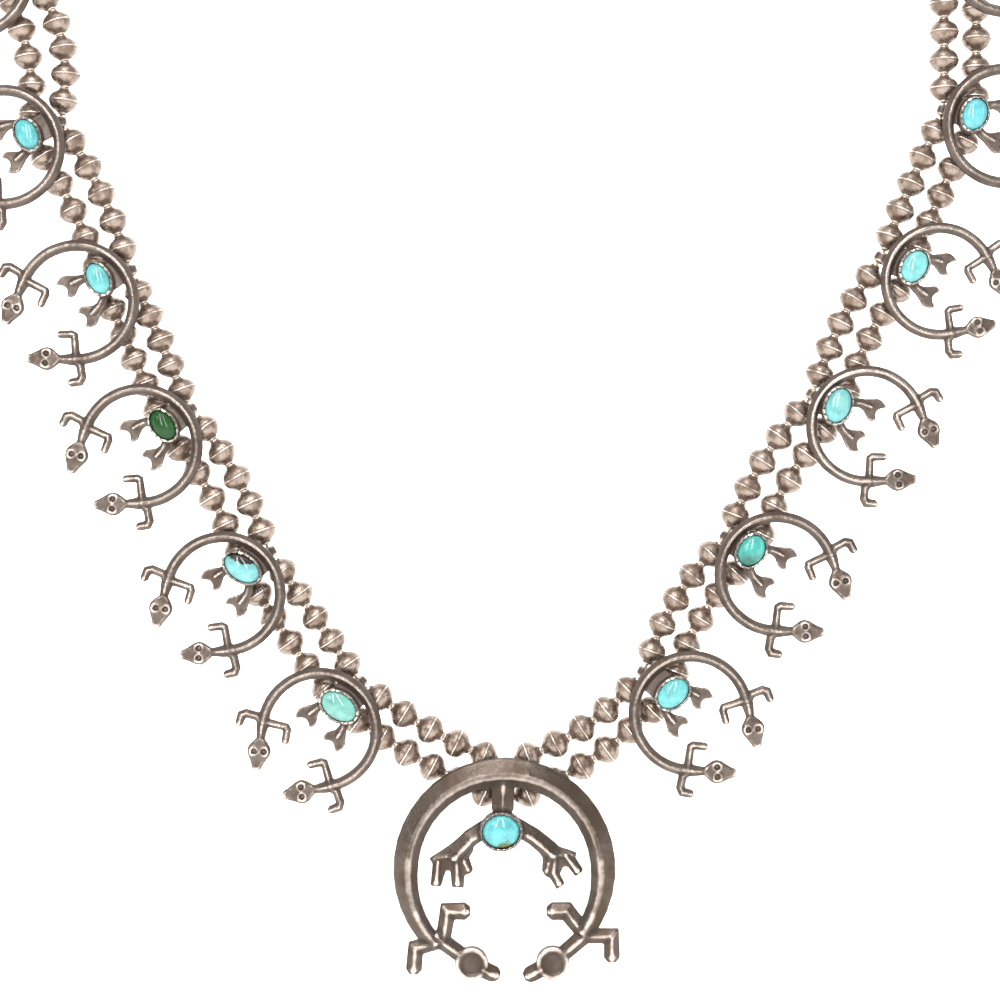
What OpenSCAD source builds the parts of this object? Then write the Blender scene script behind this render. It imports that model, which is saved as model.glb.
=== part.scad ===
// Sandcast silver necklace: two strands of seamed bench beads, twelve open crescents with
// turquoise, and an open crescent pendant below.
// It hangs in the XZ plane with its front towards -Y. The origin is at the nape, in the middle
// of the clasp's lower edge. Each casting has its own frame: u across, v up, w to the front,
// with the centre of its ring at zero.

/* [Whole] */
// Height of the nape above the centre of the pendant's ring
fall = 300; // [290:1:310]
// Distance from the strands' plane to the flat backs of the castings
cast_back = 4.1; // [4:0.1:5]

/* [Beads] */
// Diameter of a bead at its seam
bead_d = 7.6; // [6.6:0.1:7.6]
// Diameter of a bead's neck at each end
neck_d = 2.3; // [2:0.1:2.6]
// Diameter of the hole through a bead
bore_d = 1.7; // [1.5:0.1:1.8]
// Clear space between two beads
bead_gap = 0.3; // [0.2:0.05:0.35]
// Number of beads between the eyes of two neighbouring castings
beads_between = 5; // [5]
// Number of beads on the outer strand between the pendant and the first crescent
beads_first_outer = 6; // [6]
// Smallest length of a bead in the hidden stretch behind the neck
bead_l_min = 6.9; // [6.8:0.1:7.2]
// Diameter of the stringing wire
thread_d = 0.8; // [0.7:0.1:1]

/* [Eyes on the backs] */
// Outer diameter of an eye
eye_d = 3.7; // [3.6:0.1:4]
// Diameter of the hole through an eye
eye_bore_d = 2.3; // [2.2:0.1:2.4]
// Length of an eye along the strand
eye_l = 2.4; // [2.2:0.1:2.8]
// Distance from the middle of an eye to the first bead beside it
eye_room = 2.2; // [2.1:0.05:2.3]
// Height of a crescent's inner and outer eyes above its ring's centre
blossom_eyes = [14.9, 7.1]; // [7:0.1:15.6]
// Height of the pendant's inner and outer eyes above its ring's centre
naja_eyes = [24.6, 15.2]; // [15:0.1:25.8]

/* [Crescents] */
// Radius of a crescent's ring at the middle of its wire
ring_r = 14.25; // [14:0.05:14.5]
// Width of the ring's wire
ring_w = 2.6; // [2.2:0.1:3]
// Angle from the middle of a ring's opening to the figures as they are drawn
ring_open = 56; // [54:1:58]
// Height of the straight edge of the cast wire, under its ridge
cast_wall = 1; // [0.8:0.1:1.2]
// Rise of the ridge for each millimetre of width
ridge_rise = 0.45; // [0.3:0.05:0.5]

/* [Stones] */
// Thickness of the plate under a bezel
plate_t = 0.8; // [0.6:0.1:0.9]
// Height of a crescent's bezel wall above its back
bezel_h = 3.1; // [2.8:0.1:3.4]
// Thickness of the bezel wall
bezel_t = 0.45; // [0.4:0.05:0.6]
// Space between a stone and its bezel
stone_gap = 0.15; // [0.15:0.01:0.2]
// Rise of a stone's dome above its bezel
dome_rise = 1.4; // [1:0.1:1.8]

/* [Pendant] */
// Outer radius of the pendant's band
band_r = 27.7; // [27:0.1:28]
// Height of the band's own centre above the ring's centre
band_v = -0.8; // [-1:0.1:-0.6]
// How far the band sweeps from its top, to the left and to the right
band_sweep = [-138, 130]; // [-140:1:134]
// Height of the band's straight edge
band_wall = 1.4; // [1.2:0.1:1.6]
// Rise of the band's ridge for each millimetre of width
band_rise = 0.28; // [0.2:0.02:0.34]
// Height of the pendant's stone above the ring's centre
naja_stone_v = 8.9; // [8.6:0.1:9.2]
// Height of the pendant's bezel wall above its back
naja_bezel_h = 3.8; // [3.4:0.1:4.2]

/* [Clasp] */
// Width of the clasp, from strand end to strand end
clasp_w = 12; // [10:1:16]
// Thickness of the clasp
clasp_t = 4.4; // [4:0.2:5]
// Distance from the clasp's edges to the strands
clasp_edge = 2.4; // [2.2:0.1:3]
// Distance between the two strands at the clasp
clasp_pitch = 8.4; // [8.2:0.1:9]
// Depth of the holes that take the ends of the wires
clasp_bore = 3.5; // [3:0.5:4]

/* [Hidden] */
$fn = 32;
// Each crescent's name, the place of its ring's centre from the pendant's, its turn to the
// left, the size of its ring and figures, the angles of its opening towards its upper and its
// lower figure, how far the strands below it bow towards the neck, and its stone's length, width,
// place in the casting's frame and turn.
//   name       x      z  turn   size  up  low bow_in bow_out  stone_l, w, u, v and turn
BLOSSOMS = [
    ["r1",   46.8,  38.1,  49,  1.00,  53,  51,  -3.0,  -3.3,   8.9,  6.4,   0.8,  6.90,  -7],
    ["r2",   68.3,  73.0,  53,  1.00,  56,  53,   3.0,   2.8,   8.4,  6.5,   0.7,  8.79,   3],
    ["r3",   90.8, 110.0,  58,  0.97,  54,  54,   2.4,   2.0,   9.0,  6.3,   0.3,  9.00,  12],
    ["r4",  109.0, 146.3,  65,  0.94,  51,  51,   2.0,   1.6,   8.6,  6.2,   0.2,  7.46,  -5],
    ["r5",  125.5, 185.2,  72,  1.00,  56,  55,   0.6,   0.3,   8.1,  6.2,  -0.2,  8.49,  -2],
    ["r6",  126.0, 228.0,  83,  1.00,  56,  56,   0.0,  -0.6,   8.2,  6.8,   0.0,  7.75,   0],
    ["l1",  -46.2,  33.9, -41,  1.00,  56,  51,  -1.6,  -1.7,   9.8,  6.5,  -0.2,  7.88,   6],
    ["l2",  -70.3,  68.0, -47,  1.00,  56,  51,   0.3,  -0.9,   9.8,  6.2,  -1.4,  8.06,  13],
    ["l3",  -91.1, 105.0, -52,  1.00,  56,  53,   2.2,   1.8,   8.4,  5.4,  -0.3,  7.96,  -1],
    ["l4", -107.0, 141.0, -56,  1.00,  56,  54,   0.1,  -0.2,   8.2,  5.4,  -1.4,  7.98,  -6],
    ["l5", -125.6, 179.9, -62,  1.00,  56,  56,   2.0,   1.5,   8.0,  5.5,   0.7,  7.15,  -2],
    ["l6", -133.4, 222.5, -88,  1.00,  56,  56,   4.2,   2.6,   8.2,  6.4,   0.0,  7.75,   0],
];
NAME = 0; X = 1; Z = 2; TURN = 3; SIZE = 4; UP = 5; LOW = 6; BOW = 7; STONE_L = 9; STONE_W = 10; STONE_U = 11;
STONE_V = 12; STONE_TURN = 13;
naja_x = 0.1;
naja_eye_u = 0.4;
naja_stone_u = -0.8;
naja_stone = [9.5, 8.5];
crescents = 6;
sides = [["right", 1, 0], ["left", -1, crescents]];
strands = ["inner", "outer"];

// Cast limbs of a crescent's figure, on the right of its axis. Each row is u, v and the width.
BLOSSOM_LIMBS = [
    [[12.4, -6.6, 2.4], [11.5, -8.6, 2.9], [10.0, -10.9, 2.0], [9.0, -12.4, 1.8]],
    [[11.6, -8.2, 2.0], [14.0, -7.6, 1.9], [16.6, -8.8, 2.0], [17.2, -9.9, 2.1], [16.1, -12.4, 1.9]],
    [[11.9, -7.6, 2.0], [6.8, -4.9, 1.7], [6.1, -5.3, 1.9], [4.3, -8.3, 1.7]],
];
// The outline of a fishtail petal under the stone, and the ridge on it
PETAL = [
    [1.2, 7.0], [3.2, 7.4], [4.7, 5.6], [5.4, 3.9], [6.4, 2.4], [7.2, 1.2], [7.3, 0.2], [6.9, -0.9],
    [6.5, -1.8], [6.0, -1.0], [5.2, -0.3], [4.4, 0], [3.5, -0.2], [2.9, -0.6], [2.3, -1.3], [1.8, -0.4],
    [1.7, 0.6], [2.3, 1.6], [3.0, 2.8], [3.1, 4.2], [2.6, 5.6],
];
PETAL_RIDGES = [[[2.6, 6.6, 1.6], [4.0, 4.2, 1.6], [4.4, 2.6, 1.5], [4.6, 1.2, 0.9]]];
petal_h = 1.2;
// A head runs from its neck to its snout. Each row is the distance along it and half its width.
head_line = [[9.7, -11.2], [5.5, -17.8]];
HEAD = [[0, 0.9], [1, 1.8], [1.9, 2.5], [2.9, 2.85], [4, 2.65], [5.2, 2], [6.6, 1.3], [7.5, 1], [7.8, 0.6]];
blossom_head_h = 1.8;
blossom_pits = [[7.0, -13.1], [8.9, -14.6]];
pit_rim = [1.2, 0.2];
pit_r = 0.8;
pit_core_r = 0.35;
pit_depth = 0.6;
pit_sides = 12;
ring_crest = 0.25;
end_share = 0.3;
edge_step = 0.35;

// Limbs of the pendant's two lower figures, right and left
NAJA_FIGURES = [
    [[20.6, -15.6, 4.6], [20.0, -17.5, 4.0], [15.6, -21.4, 3.8], [14.3, -22.4, 3.6]],
    [[20.2, -17.2, 3.8], [15.6, -11.4, 4.2], [10.6, -11.4, 4.2]],
    [[19.8, -17.6, 3.4], [26.8, -17.6, 3.6], [26.9, -24.1, 3.8]],
    [[9.6, -25.6, 4.0], [7.2, -26.9, 4.0], [5.0, -27.9, 3.6]],
    [[-17.2, -16.9, 4.6], [-15.6, -18.9, 4.0], [-11.6, -21.8, 3.8], [-10.4, -22.7, 3.6]],
    [[-15.4, -18.7, 3.6], [-14.2, -11.5, 3.9], [-8.6, -11.4, 4.2]],
    [[-15.8, -18.9, 3.4], [-22.2, -20.6, 3.7], [-22.8, -27.1, 3.8]],
    [[-5.7, -25.7, 4.0], [-3.4, -26.9, 4.0], [-1.2, -27.5, 3.6]],
];
naja_heads = [[12.1, -24.2], [-8.2, -24.4]];
naja_head_r = 4.1;
naja_head_h = 2.3;
naja_dish_r = 2.8;
naja_dish = 0.4;
// The bar and the two arms, each after the share of its width that its ridge lies to one side
NAJA_ARMS = [
    [0, [[-0.2, 22.4, 5.4], [-0.5, 12.5, 5.4]]],
    [0.12, [[2.4, 10.2, 4.0], [7.4, 7.2, 4.2], [11.4, 3.9, 4.4], [13.2, 2.0, 4.2]]],
    [-0.12, [[-4.0, 9.9, 4.0], [-8.6, 6.8, 4.2], [-12.0, 3.3, 4.4], [-13.4, 1.4, 4.2]]],
];
// The outlines of the two hands, and the ridges on their fingers
NAJA_HANDS = [
    [
        [13.3, 4.8], [18.0, 3.2], [17.7, 2.0], [19.7, -1.1], [17.8, -2.6], [15.9, -0.1], [14.7, -0.1],
        [13.8, -2.0], [15.0, -4.5], [13.1, -5.8], [11.4, -2.9], [10.4, -2.6], [9.5, -1.2], [9.7, 1.9],
        [8.8, 3.3],
    ],
    [
        [-10.3, 7.8], [-13.9, 4.9], [-18.7, 1.8], [-17.9, 0.5], [-18.4, -4.9], [-15.9, -5.1], [-15.2, -2.6],
        [-14.7, -1.1], [-13.4, -1.1], [-13.1, -5.2], [-10.3, -5.4], [-10.0, -2.3], [-8.6, -1.9], [-7.9, -1.1],
        [-8.9, 2.0], [-7.7, 4.1],
    ],
];
NAJA_FINGERS = [
    [[12.6, 2.4, 2.0], [12.3, -1.6, 2.2], [14.0, -5.0, 2.3]],
    [[15.2, 2.8, 2.0], [16.6, 1.0, 2.2], [18.7, -1.8, 2.3]],
    [[11.2, 1.6, 1.8], [10.5, -1.8, 1.6]],
    [[12.8, 2.8, 2.0], [17.4, 2.7, 1.2]],
    [[-16.6, 1.2, 2.0], [-17.1, -4.9, 2.3]],
    [[-12.0, 1.8, 2.0], [-11.7, -5.2, 2.4]],
    [[-10.2, 1.4, 1.8], [-9.0, -1.4, 1.6]],
    [[-12.4, 3.0, 2.0], [-18.0, 1.5, 1.2]],
];
band_widths = [[0, 7.0], [90, 6.0], [134, 4.2]];
band_lean = 0.1;
band_crest = 0.09;
band_steps = 30;
oval_sides = 24;
dome_sides = 20;
// The dome's rows: share of the stone's size, and share of the height above its base
DOME = [[1, 0], [1, 0.45], [0.9, 0.7], [0.68, 0.88], [0.36, 0.97]];
thread_sides = 6;
curve_steps = 24;
arch_lift = 44;
arch_reach = 62;
sink = 0.3;

function turned(a, p) = [p[0] * cos(a) - p[1] * sin(a), p[0] * sin(a) + p[1] * cos(a)];

// The place of a casting's eye in the hanging plane
function eye_of(x, z, turn, v) = [x, z - fall] + turned(turn, [0, v]);

function side_rows(s) = [for (i = [0:crescents - 1]) BLOSSOMS[s[2] + i]];

// One strand's eyes on one side, from the pendant up
function eyes(s, k) = concat(
    [[naja_x + naja_eye_u, naja_eyes[k] - fall]],
    [for (b = side_rows(s)) eye_of(b[X], b[Z], b[TURN], blossom_eyes[k])]
);

function bezier(c, t) =
    c[0] * pow(1 - t, 3) + c[1] * 3 * t * pow(1 - t, 2) + c[2] * 3 * t * t * (1 - t) + c[3] * pow(t, 3);

// A strand's stretch between two eyes, bowed towards the neck
function bowed(a, b, side, bow) =
    let (d = (b - a) / norm(b - a), n = side * [-d[1], d[0]] * bow / 0.75)
    [a, a + (b - a) / 3 + n, a + (b - a) * 2 / 3 + n, b];

function slope(c, t) =
    unit((c[1] - c[0]) * pow(1 - t, 2) + (c[2] - c[1]) * 2 * t * (1 - t) + (c[3] - c[2]) * t * t);

// The hidden stretch from the last crescent over to the clasp; the outer strand keeps beside
// the inner one all the way
function arch(s, k) =
    let (
        a = eyes(s, 0)[crescents],
        up = s[1] * turned(side_rows(s)[crescents - 1][TURN], [1, 0]),
        e = [s[1] * clasp_w / 2, clasp_edge],
        c = [a, a + arch_lift * up, e + [s[1] * arch_reach, 0], e],
        low = blossom_eyes[0] - blossom_eyes[1]
    )
    [for (i = [0:curve_steps])
        let (t = i / curve_steps, d = slope(c, t), apart = k * (low + (clasp_pitch - low) * t))
        bezier(c, t) + s[1] * apart * [d[1], -d[0]]];

function sampled(c) = [for (i = [0:curve_steps]) bezier(c, i / curve_steps)];

// The path of one strand on one side, a list of points for each stretch
function stretches(s, k) =
    let (e = eyes(s, k), rows = side_rows(s))
    concat(
        [for (i = [0:crescents - 1]) sampled(bowed(e[i], e[i + 1], s[1], rows[i][BOW + k]))],
        [arch(s, k)]
    );

function run(q, i) = i == 0 ? 0 : run(q, i - 1) + norm(q[i] - q[i - 1]);

// The ends of the beads on one stretch, at equal steps along it
function knots(q, n, first, last) =
    let (
        s = [for (i = [0:curve_steps]) run(q, i)],
        xs = [for (i = [0:curve_steps]) [s[i], q[i][0]]],
        zs = [for (i = [0:curve_steps]) [s[i], q[i][1]]],
        whole = s[curve_steps],
        count = n > 0 ? n : floor((whole - first - last) / (bead_l_min + bead_gap)),
        step = (whole - first - last) / count
    )
    [for (i = [0:count]) [lookup(first + i * step, xs), lookup(first + i * step, zs)]];

function bead_count(i, k) = i == crescents ? 0 : (i == 0 && k == 1) ? beads_first_outer : beads_between;

// All the bead ends of one strand on one side, a list for each stretch
function strand_knots(s, k) =
    let (q = stretches(s, k))
    [for (i = [0:crescents]) knots(q[i], bead_count(i, k), eye_room, i == crescents ? bead_gap : eye_room)];

// The wire's bends on one side, from the first eye to the clasp's hole
function wire(s, k) =
    let (e = eyes(s, k), g = strand_knots(s, k), c = stretches(s, k)[crescents][curve_steps])
    concat(
        [for (i = [0:crescents]) each concat([e[i]], g[i])],
        [c - [s[1] * (clasp_bore - 0.5), 0]]
    );

// The turn of an eye on a casting that hangs at the given turn, along the run of its strand
function eye_skew(below, above, turn) =
    let (d = above - below, a = atan2(d[1], d[0]) - turn + 90)
    a - 180 * floor(a / 180) - 90;

function reversed(a) = [for (i = [len(a) - 1:-1:0]) a[i]];

function rest(a) = [for (i = [1:len(a) - 1]) a[i]];

function unit(a) = a / norm(a);

// The direction across a path at one of its bends, mitred
function across(p, i) =
    let (
        a = unit(i == 0 ? p[1] - p[0] : p[i] - p[i - 1]),
        b = unit(i == len(p) - 1 ? p[i] - p[i - 1] : p[i + 1] - p[i]),
        m = unit(a + b)
    )
    [m[1], -m[0]] / (m * a);

// The triangles that join rings of m points into a closed tube of n rings
function tube_faces(n, m) = concat(
    [for (i = [0:n - 2], j = [0:m - 1])
        let (a = i * m + j, b = i * m + (j + 1) % m)
        each [[a, a + m, b], [b, a + m, b + m]]],
    [for (j = [1:m - 2]) [0, j, j + 1]],
    [for (j = [1:m - 2]) let (o = (n - 1) * m) [o, o + j + 1, o + j]]
);

// A limb's rows with the far end drawn in, as a blunt rounded tip
function blunted(rows) =
    let (
        a = rows[len(rows) - 2], b = rows[len(rows) - 1], d = [a[0] - b[0], a[1] - b[1]],
        o = [b[0], b[1]] + min(end_share * b[2], 0.4 * norm(d)) * unit(d)
    )
    concat([for (i = [0:len(rows) - 2]) rows[i]], [[o[0], o[1], b[2]], [b[0], b[1], b[2] / 2]]);

// A ridged cast limb along rows of u, v and width, flat at the back. The ridge lies to one side
// by a share of the width, and is broad where it has a crest.
module limb(rows, wall, rise, lean = 0, crest = 0) {
    path = [for (r = rows) [r[0], r[1]]];
    points = [for (i = [0:len(rows) - 1])
        let (n = across(path, i), w = rows[i][2], o = path[i])
        each [
            concat(o - n * w / 2, 0), concat(o - n * w / 2, wall),
            each [for (c = crest > 0 ? [-crest, crest] : [0])
                concat(o + n * w * (lean + c), wall + rise * w)],
            concat(o + n * w / 2, wall), concat(o + n * w / 2, 0)
        ]];
    polyhedron(points, tube_faces(len(rows), crest > 0 ? 6 : 5), convexity = 4);
}

module limbs(rows, wall = cast_wall * 0.9, rise = ridge_rise) {
    for (r = rows) limb(blunted(r), wall, rise);
}

// The outline of a head, drawn in by the given amount
function head_outline(inset) =
    let (d = unit(head_line[1] - head_line[0]), n = [d[1], -d[0]])
    concat(
        [for (r = HEAD) head_line[0] + d * r[0] + n * (r[1] - inset)],
        reversed([for (r = HEAD) head_line[0] + d * r[0] - n * (r[1] - inset)])
    );

module oval(l, w, grow = 0) {
    polygon([for (i = [0:oval_sides - 1])
        let (a = 360 * i / oval_sides) [(l / 2 + grow) * cos(a), (w / 2 + grow) * sin(a)]]);
}

// Sets a stone's cup on a casting: a floor and a wall, with its room cleared of all else
module with_bezel(l, w, h, place, turn = 0) {
    difference() {
        union() {
            children();
            translate(place) rotate([0, 0, turn]) linear_extrude(h) oval(l, w, stone_gap + bezel_t);
        }
        translate([place[0], place[1], plate_t]) rotate([0, 0, turn]) linear_extrude(h) oval(l, w, stone_gap);
    }
}

module cabochon(l, w, h) {
    base = plate_t + stone_gap;
    top = h + dome_rise - base;
    rings = [for (r = DOME, i = [0:dome_sides - 1])
        let (a = -360 * i / dome_sides) [l / 2 * r[0] * cos(a), w / 2 * r[0] * sin(a), base + top * r[1]]];
    n = len(DOME);
    m = dome_sides;
    sides = [for (i = [0:n - 2], j = [0:m - 1])
        let (a = i * m + j, b = i * m + (j + 1) % m) each [[a, b, a + m], [b, b + m, a + m]]];
    crown = [for (j = [0:m - 1]) [(n - 1) * m + j, (n - 1) * m + (j + 1) % m, n * m]];
    floor_fan = [for (j = [1:m - 2]) [0, j + 1, j]];
    polyhedron(concat(rings, [[0, 0, base + top]]), concat(sides, crown, floor_fan), convexity = 2);
}

// An eye soldered to the back, with its hole along the strand. Its foot reaches from one
// height to another along the casting's own axis.
module back_eye(u, v, skew, foot_low, foot_high) {
    translate([u, v, -cast_back]) rotate([0, 0, skew]) translate([-eye_l / 2, 0, 0])
        rotate([90, 0, 90]) linear_extrude(eye_l) difference() {
            union() {
                circle(d = eye_d);
                translate([foot_low - v, 0]) square([foot_high - foot_low, cast_back + sink]);
            }
            circle(d = eye_bore_d);
        }
}

// Puts a casting where it hangs: its flat back in front of the strands, turned to the left
module hung(x, z, turn = 0) {
    translate([x, -cast_back, z - fall]) rotate([90, 0, 0]) rotate([0, 0, turn]) children();
}

module blossom_figure() {
    limbs(BLOSSOM_LIMBS);
    difference() {
        union() {
            linear_extrude(blossom_head_h - edge_step) polygon(head_outline(0));
            linear_extrude(blossom_head_h) polygon(head_outline(edge_step));
            for (p = blossom_pits) translate(p)
                cylinder(r = pit_rim[0], h = blossom_head_h + pit_rim[1]);
        }
        for (p = blossom_pits) translate([p[0], p[1], blossom_head_h - pit_depth]) difference() {
            cylinder(r = pit_r, h = blossom_head_h);
            cylinder(r = pit_core_r, h = pit_depth * 0.5, $fn = pit_sides);
        }
    }
}

// The open ring, with its opening's angles to the right and to the left
module blossom_ring(opens) {
    half = ring_w / 2;
    rotate([0, 0, opens[0] - 90]) rotate_extrude(angle = 360 - opens[0] - opens[1])
        polygon([
            [ring_r - half, 0], [ring_r + half, 0], [ring_r + half, cast_wall],
            [ring_r + ring_crest, cast_wall + ridge_rise * ring_w],
            [ring_r - ring_crest, cast_wall + ridge_rise * ring_w], [ring_r - half, cast_wall]
        ]);
}

// The crescent at place i on side s
module blossom(s, i) {
    b = side_rows(s)[i];
    plate_w = b[STONE_L] - 1.6;
    crown = ring_r * b[SIZE];
    half = ring_w / 2;
    opens = s[1] > 0 ? [b[UP], b[LOW]] : [b[LOW], b[UP]];
    skews = [for (k = [0, 1]) let (g = strand_knots(s, k), below = g[i])
        eye_skew(below[len(below) - 1], g[i + 1][0], b[TURN])];
    color("#8d8078") hung(b[X], b[Z], b[TURN]) {
        with_bezel(b[STONE_L], b[STONE_W], bezel_h, [b[STONE_U], b[STONE_V], 0], b[STONE_TURN]) {
            scale(b[SIZE]) {
                blossom_ring(opens);
                for (m = [0, 1]) mirror([m, 0, 0]) rotate([0, 0, opens[m] - ring_open]) blossom_figure();
            }
            for (m = [0, 1]) mirror([m, 0, 0]) {
                linear_extrude(petal_h) polygon(PETAL);
                limbs(PETAL_RIDGES, petal_h + 0.13, ridge_rise);
            }
            translate([b[STONE_U] / 2 - plate_w / 2, b[STONE_V], 0])
                cube([plate_w, crown - b[STONE_V] - 0.4, plate_t]);
        }
        back_eye(0, blossom_eyes[0], skews[0], crown - half + 0.1, crown + half - 0.2);
        back_eye(0, blossom_eyes[1], skews[1], blossom_eyes[1] - 1.4, blossom_eyes[1] + 1.4);
    }
}

module blossom_stone(b) {
    color("#4fc4bd") hung(b[X], b[Z], b[TURN])
        translate([b[STONE_U], b[STONE_V], 0]) rotate([0, 0, b[STONE_TURN]])
            cabochon(b[STONE_L], b[STONE_W], bezel_h);
}

module naja_head(place) {
    translate(place) difference() {
        cylinder(r = naja_head_r, h = naja_head_h);
        translate([0, 0, naja_head_h - naja_dish]) cylinder(r = naja_dish_r, h = naja_head_h);
    }
}

module naja_band() {
    rows = [for (i = [0:band_steps])
        let (
            a = band_sweep[0] + (band_sweep[1] - band_sweep[0]) * i / band_steps,
            w = lookup(abs(a), band_widths), r = band_r - w / 2
        )
        [r * sin(a), band_v + r * cos(a), w]];
    limb(rows, band_wall, band_rise, band_lean, band_crest);
}

module naja() {
    skews = [for (k = [0, 1]) eye_skew(strand_knots(sides[1], k)[0][0], strand_knots(sides[0], k)[0][0], 0)];
    color("#8a7f76") hung(naja_x, 0) {
        with_bezel(naja_stone[0], naja_stone[1], naja_bezel_h, [naja_stone_u, naja_stone_v, 0]) {
            naja_band();
            limbs(NAJA_FIGURES, band_wall * 0.9, ridge_rise * 0.7);
            for (h = naja_heads) naja_head(h);
            for (a = NAJA_ARMS) limb(blunted(a[1]), band_wall * 0.9, ridge_rise * 0.65, a[0]);
            for (h = NAJA_HANDS) linear_extrude(band_wall) polygon(h);
            limbs(NAJA_FINGERS, band_wall * 0.9, ridge_rise * 0.9);
        }
        back_eye(naja_eye_u, naja_eyes[0], skews[0], naja_eyes[0] - 1.6, naja_eyes[0] + 0.9);
        back_eye(naja_eye_u, naja_eyes[1], skews[1], naja_eyes[1] - 1.4, naja_eyes[1] + 1.4);
    }
}

module naja_stone_piece() {
    color("#35c3e0") hung(naja_x, 0)
        translate([naja_stone_u, naja_stone_v, 0]) cabochon(naja_stone[0], naja_stone[1], naja_bezel_h);
}

// Half of a bead's outline: share of the half length, and share of the rise from neck to seam
BEAD = [[0, 1], [0.07, 1], [0.09, 0.95], [0.3, 0.86], [0.55, 0.58], [0.75, 0.28], [0.88, 0.08], [1, 0]];

// A drilled bead of two domed cones that meet in a seam, from one knot to the next
module bead(a, b) {
    d = b - a;
    l = norm(d) - bead_gap;
    rise = (bead_d - neck_d) / 2;
    half = [for (p = BEAD) [neck_d / 2 + rise * p[1], l / 2 * p[0]]];
    lower = [for (p = reversed(rest(half))) [p[0], -p[1]]];
    outline = concat([[bore_d / 2, -l / 2]], lower, rest(half), [[bore_d / 2, l / 2]]);
    mid = (a + b) / 2;
    translate([mid[0], 0, mid[1]]) rotate([0, atan2(d[0], d[1]), 0]) rotate_extrude() polygon(outline);
}

module beads(s, k) {
    color("#93867c") for (g = strand_knots(s, k), i = [0:len(g) - 2]) bead(g[i], g[i + 1]);
}

module thread(k) {
    path = concat(reversed(wire(sides[1], k)), rest(wire(sides[0], k)));
    r = thread_d / 2;
    points = [for (i = [0:len(path) - 1])
        let (n = across(path, i))
        each [for (j = [0:thread_sides - 1])
            let (f = 360 * j / thread_sides)
            [path[i][0] + r * cos(f) * n[0], r * sin(f), path[i][1] + r * cos(f) * n[1]]]];
    color("#a98d5e") polyhedron(points, tube_faces(len(path), thread_sides), convexity = 4);
}

module clasp() {
    tall = 2 * clasp_edge + clasp_pitch;
    round_r = 1.5;
    color("#8d8078") difference() {
        translate([0, clasp_t / 2, 0]) rotate([90, 0, 0]) linear_extrude(clasp_t) {
            translate([-clasp_w / 2 + round_r, 0]) square([clasp_w - 2 * round_r, tall]);
            translate([-clasp_w / 2, round_r]) square([clasp_w, tall - 2 * round_r]);
            for (x = [-1, 1], z = [round_r, tall - round_r])
                translate([x * (clasp_w / 2 - round_r), z]) circle(r = round_r);
        }
        for (x = [-1, 1], k = [0, 1])
            translate([x * (clasp_w / 2 - clasp_bore), 0, clasp_edge + k * clasp_pitch])
                rotate([0, x * 90, 0]) cylinder(d = bore_d, h = clasp_bore + 1);
    }
}

naja();
naja_stone_piece();  // naja_stone
for (s = sides, i = [0:crescents - 1])
    blossom(s, i);
for (b = BLOSSOMS)
    blossom_stone(b);
for (s = sides, k = [0, 1])
    beads(s, k);
for (k = [0, 1])
    thread(k);
clasp();
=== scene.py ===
# A sandcast silver necklace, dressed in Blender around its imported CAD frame.

# %% [markdown]
# The CAD model gives every piece its size and its place. This lesson starts by loading it as a
# fixed frame. All lengths here are in metres, so MM turns a maker's millimetres into Blender's
# unit.

# %% Load the frame
import math

import bmesh
import bpy
import numpy as np
from mathutils import Matrix, Vector, noise


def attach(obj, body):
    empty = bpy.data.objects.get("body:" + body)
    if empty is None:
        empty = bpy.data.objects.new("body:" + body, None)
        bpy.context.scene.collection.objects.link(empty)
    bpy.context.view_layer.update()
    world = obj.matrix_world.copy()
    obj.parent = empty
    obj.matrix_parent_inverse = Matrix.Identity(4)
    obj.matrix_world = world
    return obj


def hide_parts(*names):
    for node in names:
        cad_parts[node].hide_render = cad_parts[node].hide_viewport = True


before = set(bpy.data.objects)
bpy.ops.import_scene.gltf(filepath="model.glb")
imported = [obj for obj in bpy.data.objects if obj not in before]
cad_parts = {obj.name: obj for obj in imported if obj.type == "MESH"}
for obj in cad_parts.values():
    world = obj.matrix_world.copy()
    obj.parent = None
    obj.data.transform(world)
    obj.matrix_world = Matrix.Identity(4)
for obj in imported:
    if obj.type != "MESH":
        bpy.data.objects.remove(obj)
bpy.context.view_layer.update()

MM = 0.001

# %% [markdown]
# The photograph looks straight at the front of the necklace, square on, from about half a metre.
# It crops the sides and everything above the sixth crescents. The camera repeats that: its
# centre line meets the necklace at the photograph's centre, and its lens frames 250 mm across.

# %% Set the camera
PHOTO_CENTRE_X = -1.0 * MM
PHOTO_CENTRE_Z = -208.5 * MM
PHOTO_WIDTH = 250 * MM
CAMERA_DISTANCE = 480 * MM
CASTING_PLANE_Y = -5.5 * MM
SENSOR_MM = 36


def shown(name, data):
    """A new object of this name and data, linked to the scene."""
    piece = bpy.data.objects.new(name, data)
    bpy.context.scene.collection.objects.link(piece)
    return piece


lens = bpy.data.cameras.new("Photo camera")
lens.sensor_width = SENSOR_MM
lens.lens = SENSOR_MM * CAMERA_DISTANCE / PHOTO_WIDTH
lens.clip_start = 0.01
camera = shown("Photo camera", lens)
camera.location = (PHOTO_CENTRE_X, CASTING_PLANE_Y - CAMERA_DISTANCE, PHOTO_CENTRE_Z)
camera.rotation_euler = (math.radians(90), 0, 0)
bpy.context.scene.camera = camera
print("lens in mm:", round(lens.lens, 1))

# %% [markdown]
# A jeweller's photograph has a pale ground and soft light, with strips of light that run along
# the silver's edges. The ground here is one sheet: a floor below the pendant that rises in a
# curve to a bright backdrop, so no line shows where they meet. The backdrop stands a metre away,
# so that a camera behind the necklace is still in front of it.

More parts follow.
